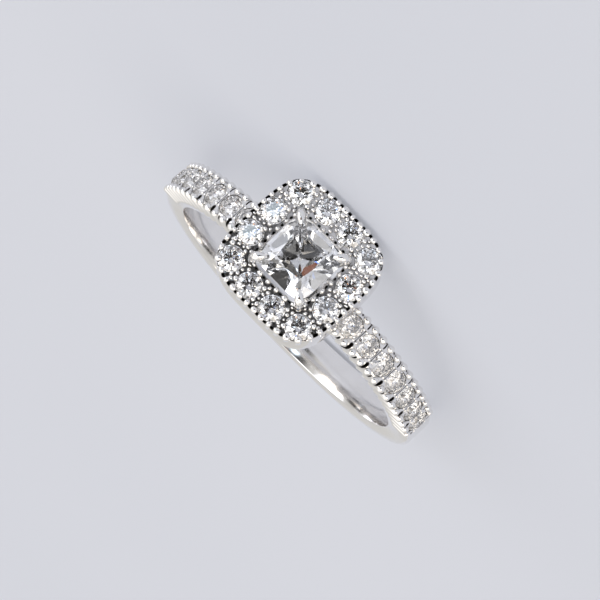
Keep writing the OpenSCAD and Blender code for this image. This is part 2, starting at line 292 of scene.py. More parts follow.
# %% [markdown]
# ## Cutting a stone
# A brilliant is cut by flat planes, so it is worked out with planes too. The crown
# has a table, 8 stars, 8 bezels and 16 halves; the pavilion has 8 mains, 16
# halves and a culet. Each point is where its planes meet, so every facet is flat and
# reflects as one mirror.
# %% cut_stone()
def meet(a1, d1, a2, d2):
    """Where the upright planes at distances d1 and d2, facing a1 and a2, cross."""
    s = math.sin(a2 - a1)
    return ((d1 * math.sin(a2) - d2 * math.sin(a1)) / s, (d2 * math.cos(a1) - d1 * math.cos(a2)) / s)


def height_on(a, b, c, p):
    """Height at p of the plane through a, b and c."""
    n = (b - a).cross(c - a)
    return a.z - (n.x * (p.x - a.x) + n.y * (p.y - a.y)) / n.z


def cut_stone(name, half, square, table, crown, star, girdle, pavilion, lower, culet, steps):
    """A 57-facet stone with a culet, its girdle in Z = 0; steps is the girdle's edges to each half."""
    n = 16 * steps
    top, under = girdle / 2, -girdle / 2
    # The 8 ways that the bezels and mains face, and the outline's radius there
    turn = [math.radians(45 * k) for k in range(9)]
    r = [cushion_r(half, square, a) for a in turn]

    def up(k, z):
        """How far out bezel k is at a height."""
        return r[k] * (1 - (1 - table) * (z - top) / crown)

    def down(k, z):
        """How far out pavilion main k is at a height."""
        return r[k] * (1 - (under - z) / pavilion)

    def level(z, distance):
        """The 8 points at a height where neighbouring bezels or mains meet."""
        return [Vector((*meet(turn[k], distance(k, z), turn[k + 1], distance(k + 1, z)), z)) for k in range(8)]

    tables = [Vector((r[k] * table * math.cos(turn[k]), r[k] * table * math.sin(turn[k]), top + crown))
              for k in range(8)]
    mids = level(top + crown * star, up)
    lows = level(under - pavilion * lower, down)
    culets = level(under - pavilion * (1 - culet), down)
    rim = cushion_ring(half, square, 0.0, n)

    def edge(z, apex):
        """The girdle's upper or lower edge, where the 16 halves that slope to the apexes cut the rim."""
        out = []
        for j in range(n):
            h = j // steps
            p = rim[h * steps].copy()
            q = rim[(h + 1) * steps % n].copy()
            p.z = q.z = z
            height = z if j % steps == 0 else height_on(apex[h // 2], p, q, rim[j])
            out.append(Vector((rim[j].x, rim[j].y, height)))
        return out

    points = tables + mids + edge(top, mids) + edge(under, lows) + lows + culets
    # Where each group of points starts: middles, upper and lower girdle, lows, culet
    M, U = 8, 16
    L = U + n
    W = L + n
    C = W + 8
    # Table, stars, bezels and upper halves
    faces = [list(range(8))]
    faces += [[M + k, (k + 1) % 8, k] for k in range(8)]
    faces += [[k, M + (k + 7) % 8, U + 2 * k * steps, M + k] for k in range(8)]
    faces += [[M + h // 2] + [U + (h * steps + j) % n for j in range(steps + 1)] for h in range(16)]
    # Girdle, lower halves, mains and culet
    band = len(faces)
    faces += [[U + j, L + j, L + (j + 1) % n, U + (j + 1) % n] for j in range(n)]
    faces += [[W + h // 2] + [L + (h * steps + j) % n for j in range(steps, -1, -1)] for h in range(16)]
    faces += [[C + k, W + k, L + 2 * k * steps, W + (k + 7) % 8, C + (k + 7) % 8] for k in range(8)]
    faces += [[C + k for k in range(7, -1, -1)]]
    made = mesh_from(name, points, faces, False, (diamond, ground_girdle))
    for j in range(n):
        made.polygons[band + j].material_index = 1
    return made


# %% [markdown]
# ## A row round the hoop
# Stones, beads, posts and slots all march round the shoulder at equal angles. One
# Geometry Nodes tree does them all: it lays points on an arc, turns each one to face
# out, and puts a copy of any object there.
# %% The row tree
def group_input(tree, name, kind, value):
    """Adds a named input to a node group, with its starting value."""
    socket = tree.interface.new_socket(name, in_out="INPUT", socket_type=kind)
    if value is not None:
        socket.default_value = value
    return socket


def end_tree(tree, geometry, material, out):
    """Ends a tree as the export needs it: real copies, and a material on them."""
    real = add(tree, "GeometryNodeRealizeInstances", {"Geometry": geometry})
    dressed = add(tree, "GeometryNodeSetMaterial", {"Geometry": real.outputs[0], "Material": material})
    switch = add(tree, "GeometryNodeSwitch", {"Switch": out, "False": real.outputs[0],
                                              "True": dressed.outputs[0]}, input_type="GEOMETRY")
    final = add(tree, "NodeGroupOutput")
    tree.links.new(switch.outputs[0], final.inputs[0])


def row_round_hoop():
    """Copies of an object at equal angles round the finger hole, facing out."""
    tree = bpy.data.node_groups.new("row_round_the_hoop", "GeometryNodeTree")
    tree.interface.new_socket("Geometry", in_out="OUTPUT", socket_type="NodeSocketGeometry")
    group_input(tree, "Piece", "NodeSocketObject", None)
    group_input(tree, "Count", "NodeSocketInt", SHOULDER_N)
    group_input(tree, "First angle", "NodeSocketFloat", SHOULDER_START)
    group_input(tree, "Step", "NodeSocketFloat", SHOULDER_STEP)
    group_input(tree, "Radius", "NodeSocketFloat", SHOULDER_R)
    group_input(tree, "Along finger", "NodeSocketFloat", 0.0)
    group_input(tree, "Loose seat", "NodeSocketFloat", 0.0)
    group_input(tree, "Turn", "NodeSocketFloat", 0.0)
    group_input(tree, "Seed", "NodeSocketInt", 1)
    group_input(tree, "Use material", "NodeSocketBool", False)
    group_input(tree, "Material", "NodeSocketMaterial", None)
    given = add(tree, "NodeGroupInput").outputs
    index = add(tree, "GeometryNodeInputIndex").outputs[0]
    angle = add(tree, "ShaderNodeMath", operation="MULTIPLY_ADD")
    tree.links.new(index, angle.inputs[0])
    tree.links.new(given["Step"], angle.inputs[1])
    tree.links.new(given["First angle"], angle.inputs[2])
    sine = add(tree, "ShaderNodeMath", {0: angle.outputs[0]}, operation="SINE")
    cosine = add(tree, "ShaderNodeMath", {0: angle.outputs[0]}, operation="COSINE")
    x = add(tree, "ShaderNodeMath", {0: sine.outputs[0], 1: given["Radius"]}, operation="MULTIPLY")
    z = add(tree, "ShaderNodeMath", {0: cosine.outputs[0], 1: given["Radius"]}, operation="MULTIPLY")
    place = add(tree, "ShaderNodeCombineXYZ", {"X": x.outputs[0], "Y": given["Along finger"], "Z": z.outputs[0]})
    points = add(tree, "GeometryNodePoints", {"Count": given["Count"], "Position": place.outputs[0]})
    lean = add(tree, "FunctionNodeRandomValue", {"Seed": given["Seed"]}, data_type="FLOAT_VECTOR")
    lean.inputs[0].default_value = (-1, -1, -1)
    lean.inputs[1].default_value = (1, 1, 1)
    amount = add(tree, "ShaderNodeCombineXYZ", {
        "X": given["Loose seat"], "Y": given["Loose seat"], "Z": given["Turn"]})
    wobble = add(tree, "ShaderNodeVectorMath", {0: lean.outputs[0], 1: amount.outputs[0]}, operation="MULTIPLY")
    facing = add(tree, "ShaderNodeCombineXYZ", {"Y": angle.outputs[0]})
    outward = add(tree, "FunctionNodeEulerToRotation", {0: facing.outputs[0]})
    seated = add(tree, "FunctionNodeEulerToRotation", {0: wobble.outputs[0]})
    turned = add(tree, "FunctionNodeRotateRotation", {0: outward.outputs[0], 1: seated.outputs[0]},
                 rotation_space="LOCAL")
    source = add(tree, "GeometryNodeObjectInfo", {"Object": given["Piece"]}, transform_space="ORIGINAL")
    copies = add(tree, "GeometryNodeInstanceOnPoints", {
        "Points": points.outputs[0], "Instance": source.outputs["Geometry"], "Rotation": turned.outputs[0]})
    end_tree(tree, copies.outputs[0], given["Material"], given["Use material"])
    return tree


def run_tree(tree, name, base=None, **values):
    """Runs a tree once on an object and returns the plain mesh that it makes."""
    made = bpy.data.objects.new(name, base or bpy.data.meshes.new(name))
    bpy.context.scene.collection.objects.link(made)
    modifier = made.modifiers.new("tree", "NODES")
    modifier.node_group = tree
    sockets = {s.name: s.identifier for s in tree.interface.items_tree if s.in_out == "INPUT"}
    for key, value in values.items():
        modifier[sockets[key.replace("_", " ")]] = value
    bpy.context.view_layer.update()
    seen = made.evaluated_get(bpy.context.evaluated_depsgraph_get())
    mesh = bpy.data.meshes.new_from_object(seen)
    bpy.data.objects.remove(made)
    return mesh


ROW = row_round_hoop()
print("the row tree has", len(ROW.nodes), "nodes")

# %% [markdown]
# ## The shoulder stones
# Seven brilliants sit on each shoulder. No two are seated exactly alike, so each
# copy is turned freely about its own axis and leans by a degree or so: that is what
# makes a row of stones twinkle instead of flashing all at once.
# %% Shoulder stones
# The squareness of a circle
ROUND = 2
# Shares of the diameter, and of the crown and pavilion for the star and lower facets
TABLE, CROWN, PAVILION, STAR, LOWER, CULET = 0.57, 0.15, 0.43, 0.68, 0.78, 0.02
# How far a shoulder stone leans and turns at most, in radians
LEAN, TURN = 0.03, 0.4


def round_brilliant(name, d):
    """A standard round brilliant, d across."""
    return cut_stone(name, d / 2, ROUND, TABLE, CROWN * d, STAR, 2 * HALF_GIRDLE * d, PAVILION * d, LOWER, CULET,
                     steps=1)


shoulder_cut = loose_object("shoulder_cut", round_brilliant("shoulder_cut", SHOULDER_D))
for side, label, seed in ((1, "left", 3), (-1, "right", 8)):
    row = run_tree(
        ROW, label, Piece=shoulder_cut, Count=SHOULDER_N, First_angle=side * SHOULDER_START,
        Step=side * SHOULDER_STEP, Radius=SHOULDER_R - HALF_GIRDLE * SHOULDER_D,
        Loose_seat=LEAN, Turn=TURN, Seed=seed)
    finish_piece(label + "_shoulder_stones", row, "diamond",
                 *["%s_shoulder_stone_%02d" % (label, i + 1) for i in range(SHOULDER_N)])

# %% [markdown]
# ## The halo stones
# Twelve brilliants stand on a bowed square. They are placed one by one, from a points
# mesh that carries each stone's lean, because two of them catch the window with their
# tables and the rest don't.
# %% Halo stones
HALO_XY = [(-HALO_CORNER, -HALO_CORNER), (-HALO_CORNER / 3, -HALO_SIDE), (HALO_CORNER / 3, -HALO_SIDE),
           (HALO_CORNER, -HALO_CORNER), (HALO_SIDE, -HALO_CORNER / 3), (HALO_SIDE, HALO_CORNER / 3),
           (HALO_CORNER, HALO_CORNER), (HALO_CORNER / 3, HALO_SIDE), (-HALO_CORNER / 3, HALO_SIDE),
           (-HALO_CORNER, HALO_CORNER), (-HALO_SIDE, HALO_CORNER / 3), (-HALO_SIDE, -HALO_CORNER / 3)]
HALO_N = len(HALO_XY)
# Lean towards +X and +Y in degrees, and turn about the stone's own axis
HALO_LEAN = [(0, 0, 5), (0.5, 0, 20), (-0.5, 0.5, 12), (1, 0, 30), (0.5, 1, 8), (-1, 0.5, 40),
             (1, 1, 25), (0, -1, 15), (0.5, 1, 3), (-1, 0, 33), (-4, -4, 0), (-4, -4, 0)]


def placed_copies():
    """Puts a copy of an object on each point of a mesh, turned by the point's own lean."""
    tree = bpy.data.node_groups.new("copies_with_lean", "GeometryNodeTree")
    tree.interface.new_socket("Geometry", in_out="OUTPUT", socket_type="NodeSocketGeometry")
    group_input(tree, "Geometry", "NodeSocketGeometry", None)
    group_input(tree, "Piece", "NodeSocketObject", None)
    group_input(tree, "Uneven", "NodeSocketFloat", 0.0)
    group_input(tree, "Seed", "NodeSocketInt", 1)
    group_input(tree, "Use material", "NodeSocketBool", False)
    group_input(tree, "Material", "NodeSocketMaterial", None)
    given = add(tree, "NodeGroupInput").outputs
    lean = add(tree, "GeometryNodeInputNamedAttribute", {"Name": "lean"}, data_type="FLOAT_VECTOR")
    small = add(tree, "ShaderNodeMath", {0: 1.0, 1: given["Uneven"]}, operation="SUBTRACT")
    large = add(tree, "ShaderNodeMath", {0: 1.0, 1: given["Uneven"]}, operation="ADD")
    size = add(tree, "FunctionNodeRandomValue", {"Seed": given["Seed"]}, data_type="FLOAT_VECTOR")
    tree.links.new(small.outputs[0], size.inputs[0])
    tree.links.new(large.outputs[0], size.inputs[1])
    turned = add(tree, "FunctionNodeEulerToRotation", {0: lean.outputs[0]})
    source = add(tree, "GeometryNodeObjectInfo", {"Object": given["Piece"]}, transform_space="ORIGINAL")
    copies = add(tree, "GeometryNodeInstanceOnPoints", {
        "Points": given["Geometry"], "Instance": source.outputs["Geometry"], "Rotation": turned.outputs[0],
        "Scale": size.outputs[0]})
    end_tree(tree, copies.outputs[0], given["Material"], given["Use material"])
    return tree


def points_mesh(name, places, leans):
    """Bare points with a lean, in radians about X, Y and Z, on each."""
    made = bpy.data.meshes.new(name)
    made.from_pydata([tuple(p) for p in places], [], [])
    store = made.attributes.new("lean", "FLOAT_VECTOR", "POINT")
    store.data.foreach_set("vector", [v for lean in leans for v in lean])
    return made


PLACED = placed_copies()
halo_cut = loose_object("halo_cut", round_brilliant("halo_cut", HALO_D))
halo_points = points_mesh(
    "halo_points", [(x, y, PLATE_Z - HALF_GIRDLE * HALO_D) for x, y in HALO_XY],
    [(math.radians(-ly), math.radians(lx), math.radians(turn)) for lx, ly, turn in HALO_LEAN])
finish_piece("halo_stones", run_tree(PLACED, "halo", halo_points, Piece=halo_cut), "diamond",
             *["halo_stone_%02d" % (i + 1) for i in range(HALO_N)])

# %% [markdown]
# ## The centre stone
# The centre stone is an old-style cushion: large facets, a high crown, and pavilion
# mains that show through the table as four dark petals.
# %% Centre stone
# Shares, as for the round stones
CUSHION_TABLE, CUSHION_STAR, CUSHION_LOWER, CUSHION_CULET = 0.56, 0.64, 0.6, 0.04
# Heights in millimetres
CUSHION_CROWN, CUSHION_GIRDLE, CUSHION_PAVILION = 0.5, 0.12, 1.55
centre = cut_stone(
    "centre_stone_cut", CENTRE_HALF, CENTRE_SQUARE, CUSHION_TABLE, CUSHION_CROWN, CUSHION_STAR,
    CUSHION_GIRDLE, CUSHION_PAVILION, CUSHION_LOWER, CUSHION_CULET, steps=3)
centre.transform(Matrix.Translation((0, 0, CENTRE_Z)))
finish_piece("cushion_stone", centre, "diamond", "centre_stone")

# %% [markdown]
# ## Seats and slots
# A jeweller drills a seat for every stone and saws a slot between each two, so that
# four small posts are left to push over the stones as beads. Here the seats and slots
# are solid cutters. Neighbouring cutters of one kind never touch, so a whole row of
# them is one closed mesh, and one boolean takes them all away.
# %% Lathe, cutters and the boolean
def lathe(name, profile, count, smooth=True, materials=()):
    """Turns (r, z) pairs about Z; the first and last pair lie on the axis."""
    points = [Vector((0, 0, profile[0][1]))]
    for r, z in profile[1:-1]:
        points += [Vector((r * math.cos(2 * math.pi * i / count), r * math.sin(2 * math.pi * i / count), z))
                   for i in range(count)]
    points.append(Vector((0, 0, profile[-1][1])))
    last = len(points) - 1
    faces = [[0, 1 + (i + 1) % count, 1 + i] for i in range(count)]
    for k in range(len(profile) - 3):
        a, b = 1 + k * count, 1 + (k + 1) * count
        faces += [[a + i, a + (i + 1) % count, b + (i + 1) % count, b + i] for i in range(count)]
    top = 1 + (len(profile) - 3) * count
    faces += [[top + i, top + (i + 1) % count, last] for i in range(count)]
    return mesh_from(name, points, faces, smooth, materials)


# How far the cutters of seats and slots stand out of the metal
SEAT_TOP, SLOT_TOP = 1.0, 0.5
# How far below the girdle a seat's cone ends, as a share of the stone's diameter
CONE_END = 0.02


def seat_cutter(name, d, hole_r, depth, finish):
    """The burr's cone under a stone of diameter d, with the drilled hole below it."""
    r, pavilion = d / 2 + SEAT_GAP, PAVILION * d
    hole_z = -pavilion * (1 - hole_r / r)
    profile = [(0, -depth), (hole_r, -depth), (hole_r, hole_z), (r, -CONE_END * d), (r, SEAT_TOP), (0, SEAT_TOP)]
    return lathe(name, profile, 32, materials=(finish,))


def cut_away(name, mesh, cutters):
    """Takes closed cutter meshes away from a closed mesh, one after another."""
    made = bpy.data.objects.new(name, mesh)
    bpy.context.scene.collection.objects.link(made)
    tools = []
    for cutter in cutters:
        tool = bpy.data.objects.new("tool", cutter)
        bpy.context.scene.collection.objects.link(tool)
        tools.append(tool)
        modifier = made.modifiers.new("cut", "BOOLEAN")
        modifier.operation, modifier.solver, modifier.object = "DIFFERENCE", "MANIFOLD", tool
        modifier.material_mode = "TRANSFER"
    bpy.context.view_layer.update()
    seen = made.evaluated_get(bpy.context.evaluated_depsgraph_get())
    cut = bpy.data.meshes.new_from_object(seen)
    for o in (made, *tools):
        bpy.data.objects.remove(o)
    return cut


def soften(mesh, degrees=35):
    """Smooth shading, with a crease wherever two faces meet at more than the given angle."""
    work = bmesh.new()
    work.from_mesh(mesh)
    for f in work.faces:
        f.smooth = True
    for e in work.edges:
        e.smooth = len(e.link_faces) == 2 and e.calc_face_angle(0) < math.radians(degrees)
    work.to_mesh(mesh)
    work.free()
    return mesh


# %% [markdown]
# ## The hoop
# The hoop is a flat band with rounded outer edges, turned to a circle. Its outside
# carries the seats and the saw slots between the stones.
# %% Hoop
def hoop_mesh(count=480):
    """The hoop's section, with rounded edges outside and soft ones inside, turned round."""
    w, e, soft = HOOP_W / 2, HOOP_EDGE, 0.06
    # Each corner's middle, radius, starting angle and steps
    corners = [(HOOP_R - e, e - w, e, -90, 8), (HOOP_R - e, w - e, e, 0, 8),
               (BORE_R + soft, w - soft, soft, 90, 3), (BORE_R + soft, soft - w, soft, 180, 3)]
    profile = []
    for r, y, size, start, steps in corners:
        for i in range(steps + 1):
            a = math.radians(start + 90 * i / steps)
            profile.append((r + size * math.cos(a), y + size * math.sin(a)))
    n = len(profile)
    points = [Vector((r * math.sin(2 * math.pi * k / count), y, r * math.cos(2 * math.pi * k / count)))
              for k in range(count) for r, y in profile]
    faces = [[k * n + j, k * n + (j + 1) % n, (k + 1) % count * n + (j + 1) % n, (k + 1) % count * n + j]
             for k in range(count) for j in range(n)]
    return mesh_from("hoop", points, faces, materials=(rhodium_plate,))


def both_shoulders(piece, count, first, radius, y=0.0):
    """One closed mesh of a row on each shoulder."""
    return joined([run_tree(ROW, "row", Piece=piece, Count=count, First_angle=side * first,
                            Step=side * SHOULDER_STEP, Radius=radius, Along_finger=y) for side in (1, -1)])


def joined(meshes):
    """One mesh of several, with the first one's materials."""
    work = bmesh.new()
    for m in meshes:
        work.from_mesh(m)
    made = bpy.data.meshes.new("joined")
    work.to_mesh(made)
    work.free()
    for m in meshes[0].materials:
        made.materials.append(m)
    return made


def slot_cutter(name, along, across, deep, count=16):
    """An upright slot with round ends, from deep below its origin to just above it."""
    ring = []
    for i in range(count):
        a = 2 * math.pi * i / count
        shift = (across - along) / 2 * (1 if math.sin(a) >= 0 else -1)
        ring.append((along / 2 * math.cos(a), along / 2 * math.sin(a) + shift))
    points = [Vector((x, y, z)) for z in (-deep, SLOT_TOP) for x, y in ring]
    faces = [list(range(count - 1, -1, -1)), list(range(count, 2 * count))]
    faces += [[i, (i + 1) % count, count + (i + 1) % count, count + i] for i in range(count)]
    # The slot's walls take the sawn metal, whose darker grey is painted shade
    return mesh_from(name, points, faces, False, (sawn_recess_painted_shade,))


def loose_slot(name, along, across, deep):
    """A slot cutter as a helper object; its sizes are along the row, across it and in depth."""
    return loose_object(name, slot_cutter(name, along, across, deep))


# How far from the hoop's middle line the slots between stones, the nicks beside each
# stone and the grooves down the hoop's sides are
SLOT_Y, NICK_Y, GROOVE_Y = 0.74, 0.92, 0.95
shoulder_seat = loose_object("shoulder_seat", seat_cutter(
    "shoulder_seat", SHOULDER_D, hole_r=0.2, depth=0.62, finish=bored_seat))
saw_slot = loose_slot("saw_slot", 0.24, 0.46, 0.5)
fine_slot = loose_slot("fine_slot", 0.1, 0.4, 0.4)
small_slot = loose_slot("small_slot", 0.13, 0.2, 0.5)
joint_slot = loose_slot("joint_slot", 0.18, 0.22, 1.0)
saw_line = loose_slot("saw_line", 0.05, 0.9, 0.22)
hoop = hoop_mesh()
seats = both_shoulders(shoulder_seat, SHOULDER_N, SHOULDER_START, SHOULDER_R - HALF_GIRDLE * SHOULDER_D)
slots = [both_shoulders(slot, SHOULDER_N + 1, SHOULDER_START - SHOULDER_STEP / 2, HOOP_R, y)
         for slot, y in ((saw_slot, -SLOT_Y), (fine_slot, SLOT_Y), (saw_line, 0))]
nicks = [both_shoulders(small_slot, SHOULDER_N, SHOULDER_START, HOOP_R, y) for y in (-NICK_Y, NICK_Y)]
nicks += [both_shoulders(joint_slot, SHOULDER_N + 1, SHOULDER_START - SHOULDER_STEP / 2, HOOP_R, y)
          for y in (-GROOVE_Y, GROOVE_Y)]
hoop = soften(cut_away("hoop", hoop, [seats, *slots, *nicks]))
finish_piece("finger_hoop", hoop, "white_gold", "ring_mount")

# %% [markdown]
# ## Beads and posts on the shoulders
# What the saw leaves is a round post, and the setter burnishes its top into a bead.
# Two stand at each edge for every stone, a little proud of the hoop's side, and end
# there in a round foot. Four tiny ones, inside of them, fill the corners between two
# stones.
# %% Shoulder beads
# Radius, distance from the hoop's middle line, depth below its surface, and height
BEAD_R, BEAD_Y, BEAD_SINK, POST_H = 0.23, 0.86, 0.025, 1.12
TINY_R, TINY_YS, TINY_SINK, TINY_H = 0.11, (-0.38, 0.42), 0.03, 0.3
# How far a tiny bead is from the joint between two stones, in radians round the hoop
TINY_ASIDE = 0.0125


def bead_post(name, r, h, top=1.0, count=16, round_foot=False):
    """A round post with a domed top; top is the dome's height as a share of its radius."""
    turns = [math.radians(a) for a in (0, 22, 44, 66)]
    dome = [(r * math.cos(a), r * top * math.sin(a)) for a in turns]
    foot = [(r * 0.9, -h), (r, -h + 0.1 * r)]
    if round_foot:
        foot = [(r * math.cos(a), r - h - r * math.sin(a)) for a in reversed(turns)]
    return lathe(name, [(0, -h)] + foot + dome + [(0, r * top)], count)


post = loose_object("post", bead_post("post", BEAD_R, POST_H, top=0.7, round_foot=True))
rows = []
for y in (-BEAD_Y, BEAD_Y):
    for side in (1, -1):
        rows.append(run_tree(ROW, "beads", Piece=post, Count=2 * SHOULDER_N,
                             First_angle=side * (SHOULDER_START - SHOULDER_STEP / 4), Step=side * SHOULDER_STEP / 2,
                             Radius=HOOP_R - BEAD_SINK, Along_finger=y, Use_material=True, Material=bright_cut))
tiny_post = loose_object("tiny_post", bead_post("tiny_post", TINY_R, TINY_H, top=0.8, count=10))
for y in TINY_YS:
    for side in (1, -1):
        for shift in (-TINY_ASIDE, TINY_ASIDE):
            rows.append(run_tree(ROW, "beads", Piece=tiny_post, Count=SHOULDER_N + 1,
                                 First_angle=side * (SHOULDER_START - SHOULDER_STEP / 2) + shift,
                                 Step=side * SHOULDER_STEP, Radius=HOOP_R - TINY_SINK, Along_finger=y,
                                 Use_material=True, Material=bright_cut))
finish_piece("shoulder_beads", joined(rows), "white_gold")

# %% [markdown]
# ## The halo's cup
# The halo is a shallow cup turned over: a plate with the seats drilled through it and
# a plain wall round it. It is drawn as cushion outlines, joined ring to ring.
# %% Halo cup
def halo_cup_mesh(count=240):
    """The cup's section: half width, squareness and height of one cushion outline after another."""
    inside, below = HALO_HALF - WALL_T, PLATE_Z - PLATE_T
    rings = [
        # Up the outside of the wall, between its rounded edges
        (3.71, HALO_SQUARE, HEAD_Z), (HALO_HALF, HALO_SQUARE, HEAD_Z + 0.04),
        (HALO_HALF, HALO_SQUARE, PLATE_Z - 0.07), (3.73, HALO_SQUARE, PLATE_Z - 0.02),
        # In across the plate, which grows squarer towards the opening
        (3.68, HALO_SQUARE, PLATE_Z), (3.2, 4.1, PLATE_Z), (2.4, 4.5, PLATE_Z),
        (HALO_OPEN + 0.05, CENTRE_SQUARE, PLATE_Z),
        # Down through the opening, out under the plate and down inside the wall
        (HALO_OPEN, CENTRE_SQUARE, PLATE_Z - 0.05), (HALO_OPEN, CENTRE_SQUARE, below), (2.6, 4.5, below),
        (inside, HALO_SQUARE, below), (inside, HALO_SQUARE, HEAD_Z + 0.04), (inside + 0.04, HALO_SQUARE, HEAD_Z)]
    points = [p for half, square, z in rings for p in cushion_ring(half, square, z, count)]
    n = len(rings)
    faces = []
    for k in range(n):
        a, b = k * count, (k + 1) % n * count
        faces += [[a + i, a + (i + 1) % count, b + (i + 1) % count, b + i] for i in range(count)]
    return mesh_from("halo_cup", points, faces, materials=(rhodium_plate,))


# Halfway between neighbouring stones, and the spacing of the notches along the edges
HALO_JOINTS = [(Vector(HALO_XY[i]) + Vector(HALO_XY[(i + 1) % HALO_N])) / 2 for i in range(HALO_N)]
EDGE_STEP = 0.56
# How far in from the edges the notches are cut
EDGE_IN = 0.1
# Steps round an outline when its length is measured
FINE = 1440


def along_edge(half, square, z):
    """Places along a cushion, three or four to each stone: a notch at every joint, lobes between."""
    fine = cushion_ring(half, square, z, FINE)
    length = [0.0]
    for i in range(FINE):
        length.append(length[-1] + (fine[(i + 1) % FINE] - fine[i]).length)

    def at(want):
        """The place at a length along the outline, and the angle that the edge faces there."""
        want %= length[-1]
        j = max(i for i in range(FINE) if length[i] <= want)
        p, q = fine[j], fine[(j + 1) % FINE]
        way = (q - p).normalized()
        return p.lerp(q, (want - length[j]) / (length[j + 1] - length[j])), math.atan2(-way.x, way.y)

    joints = sorted(length[round(math.atan2(v.y, v.x) / math.tau * FINE) % FINE] for v in HALO_JOINTS)
    notches, lobes = [], []
    for k, start in enumerate(joints):
        span = (joints[(k + 1) % HALO_N] - start) % length[-1]
        parts = round(span / EDGE_STEP)
        notches += [at(start + span * i / parts) for i in range(parts)]
        lobes += [at(start + span * (i + 0.5) / parts) for i in range(parts)]
    return notches, lobes


def run_placed(piece, places, **values):
    """A copy of a piece at each place, turned to face the way that the edge faces there."""
    points = points_mesh("places", [p for p, a in places], [(0, 0, a) for p, a in places])
    return run_tree(PLACED, "copies", points, Piece=piece, **values)


# How far a hand-pushed bead is off its place
HAND_OFF = 0.04


def beside_joints(out, aside, z):
    """Two places at every joint between stones: a distance out from the stones' line, one each side."""
    places, hand = [], random.Random(7)

    def off():
        """How far off a bead is this time."""
        return hand.uniform(-HAND_OFF, HAND_OFF)

    for i, middle in enumerate(HALO_JOINTS):
        along = (Vector(HALO_XY[(i + 1) % HALO_N]) - Vector(HALO_XY[i])).normalized()
        outward = Vector((along.y, -along.x))
        for side in ((-1, 1) if aside else (0,)):
            p = middle + outward * (out + off()) + along * (side * aside + off())
            places.append((Vector((p.x, p.y, z)), math.atan2(along.y, along.x) + hand.uniform(0, math.pi)))
    return places


# These seats take the sawn metal: dull, and painted dark as shade in their depth, which gives the halo's stones their
# dark flecks
halo_seat = loose_object("halo_seat", seat_cutter(
    "halo_seat", HALO_D, hole_r=0.5, depth=1.2, finish=sawn_recess_painted_shade))
halo_seats = run_tree(PLACED, "halo_seats", halo_points.copy(), Piece=halo_seat)
outer_notch = loose_slot("outer_notch", 0.18, 0.3, 0.4)
inner_notch = loose_slot("inner_notch", 0.14, 0.2, 0.3)
outer_notches, outer_lobes = along_edge(HALO_HALF - EDGE_IN, HALO_SQUARE, PLATE_Z)
inner_notches, inner_lobes = along_edge(HALO_OPEN + EDGE_IN, CENTRE_SQUARE, PLATE_Z)
cutters = [halo_seats, run_placed(outer_notch, outer_notches), run_placed(inner_notch, inner_notches)]
cup = soften(cut_away("cup", halo_cup_mesh(), cutters))
finish_piece("halo_cup", cup, "white_gold")
print(len(outer_notches), "notches outside,", len(inner_notches), "inside")

# %% [markdown]
# ## Beads round the halo
# The metal between two stones is cut up into beads that are pushed over both stones.
# A row of lobes runs round the outer edge, smaller ones round the inner edge, and
# pairs of beads fill the corners between stones. Little flat metal is left to see.
# %% Halo beads
lobe = loose_object("lobe", bead_post("lobe", 0.2, 0.4))
small_lobe = loose_object("small_lobe", bead_post("small_lobe", 0.15, 0.3))
setting_bead = loose_object("setting_bead", bead_post("setting_bead", 0.14, 0.3, count=12))
small_bead = loose_object("small_bead", bead_post("small_bead", 0.11, 0.25, count=10))
LOBE_INSET = 0.04
# No two beads are pushed alike: each is up to a quarter wider, narrower, taller or flatter
UNEVEN = 0.25
lobes = [(p - Vector((p.x, p.y, 0)).normalized() * LOBE_INSET, a) for p, a in outer_lobes]
# Bead, distance out from the line of stones, distance aside, and height over the plate
BEAD_ROWS = [(setting_bead, 0.42, 0.17, 0.02), (setting_bead, -0.42, 0.17, 0.02), (small_bead, 0.6, 0, 0),
             (small_bead, -0.62, 0, 0), (small_bead, 0.16, 0, -0.03), (small_bead, -0.16, 0, -0.03)]
bead_places = [(lobe, lobes), (small_lobe, inner_lobes)]
bead_places += [(piece, beside_joints(out, aside, PLATE_Z + up)) for piece, out, aside, up in BEAD_ROWS]
beads = [run_placed(piece, places, Uneven=UNEVEN, Seed=seed, Use_material=True, Material=bright_cut)
         for seed, (piece, places) in enumerate(bead_places)]
finish_piece("halo_beads", joined(beads), "white_gold")

# %% [markdown]
# ## Claws and basket
# Each claw grows out of a post that leans up from the hoop, passes the girdle, and
# is filed to a point over the crown. It is one tube swept along its bent middle line,
# with its own radius at every step.
# %% Claws
# How far the end of a tube bulges, as a share of its last radius
BLUNT = 0.6


def swept(name, path, radii, count=20, materials=()):
    """A round tube along a path, closed at both ends by a point."""
    points, faces = [], []
    side = None
    for i, (p, r) in enumerate(zip(path, radii)):
        way = (path[min(i + 1, len(path) - 1)] - path[max(i - 1, 0)]).normalized()
        side = way.orthogonal() if side is None else side - way * side.dot(way)
        side.normalize()
        up = way.cross(side)
        points += [p + r * (math.cos(2 * math.pi * k / count) * side + math.sin(2 * math.pi * k / count) * up)
                   for k in range(count)]
    for i in range(len(path) - 1):
        a, b = i * count, (i + 1) * count
        faces += [[a + k, a + (k + 1) % count, b + (k + 1) % count, b + k] for k in range(count)]
    tip = len(points)
    points += [path[0], path[-1] + (path[-1] - path[-2]).normalized() * radii[-1] * BLUNT]
    faces += [[tip, (k + 1) % count, k] for k in range(count)]
    last = (len(path) - 1) * count
    faces += [[last + k, last + (k + 1) % count, tip + 1] for k in range(count)]
    return mesh_from(name, points, faces, True, materials)


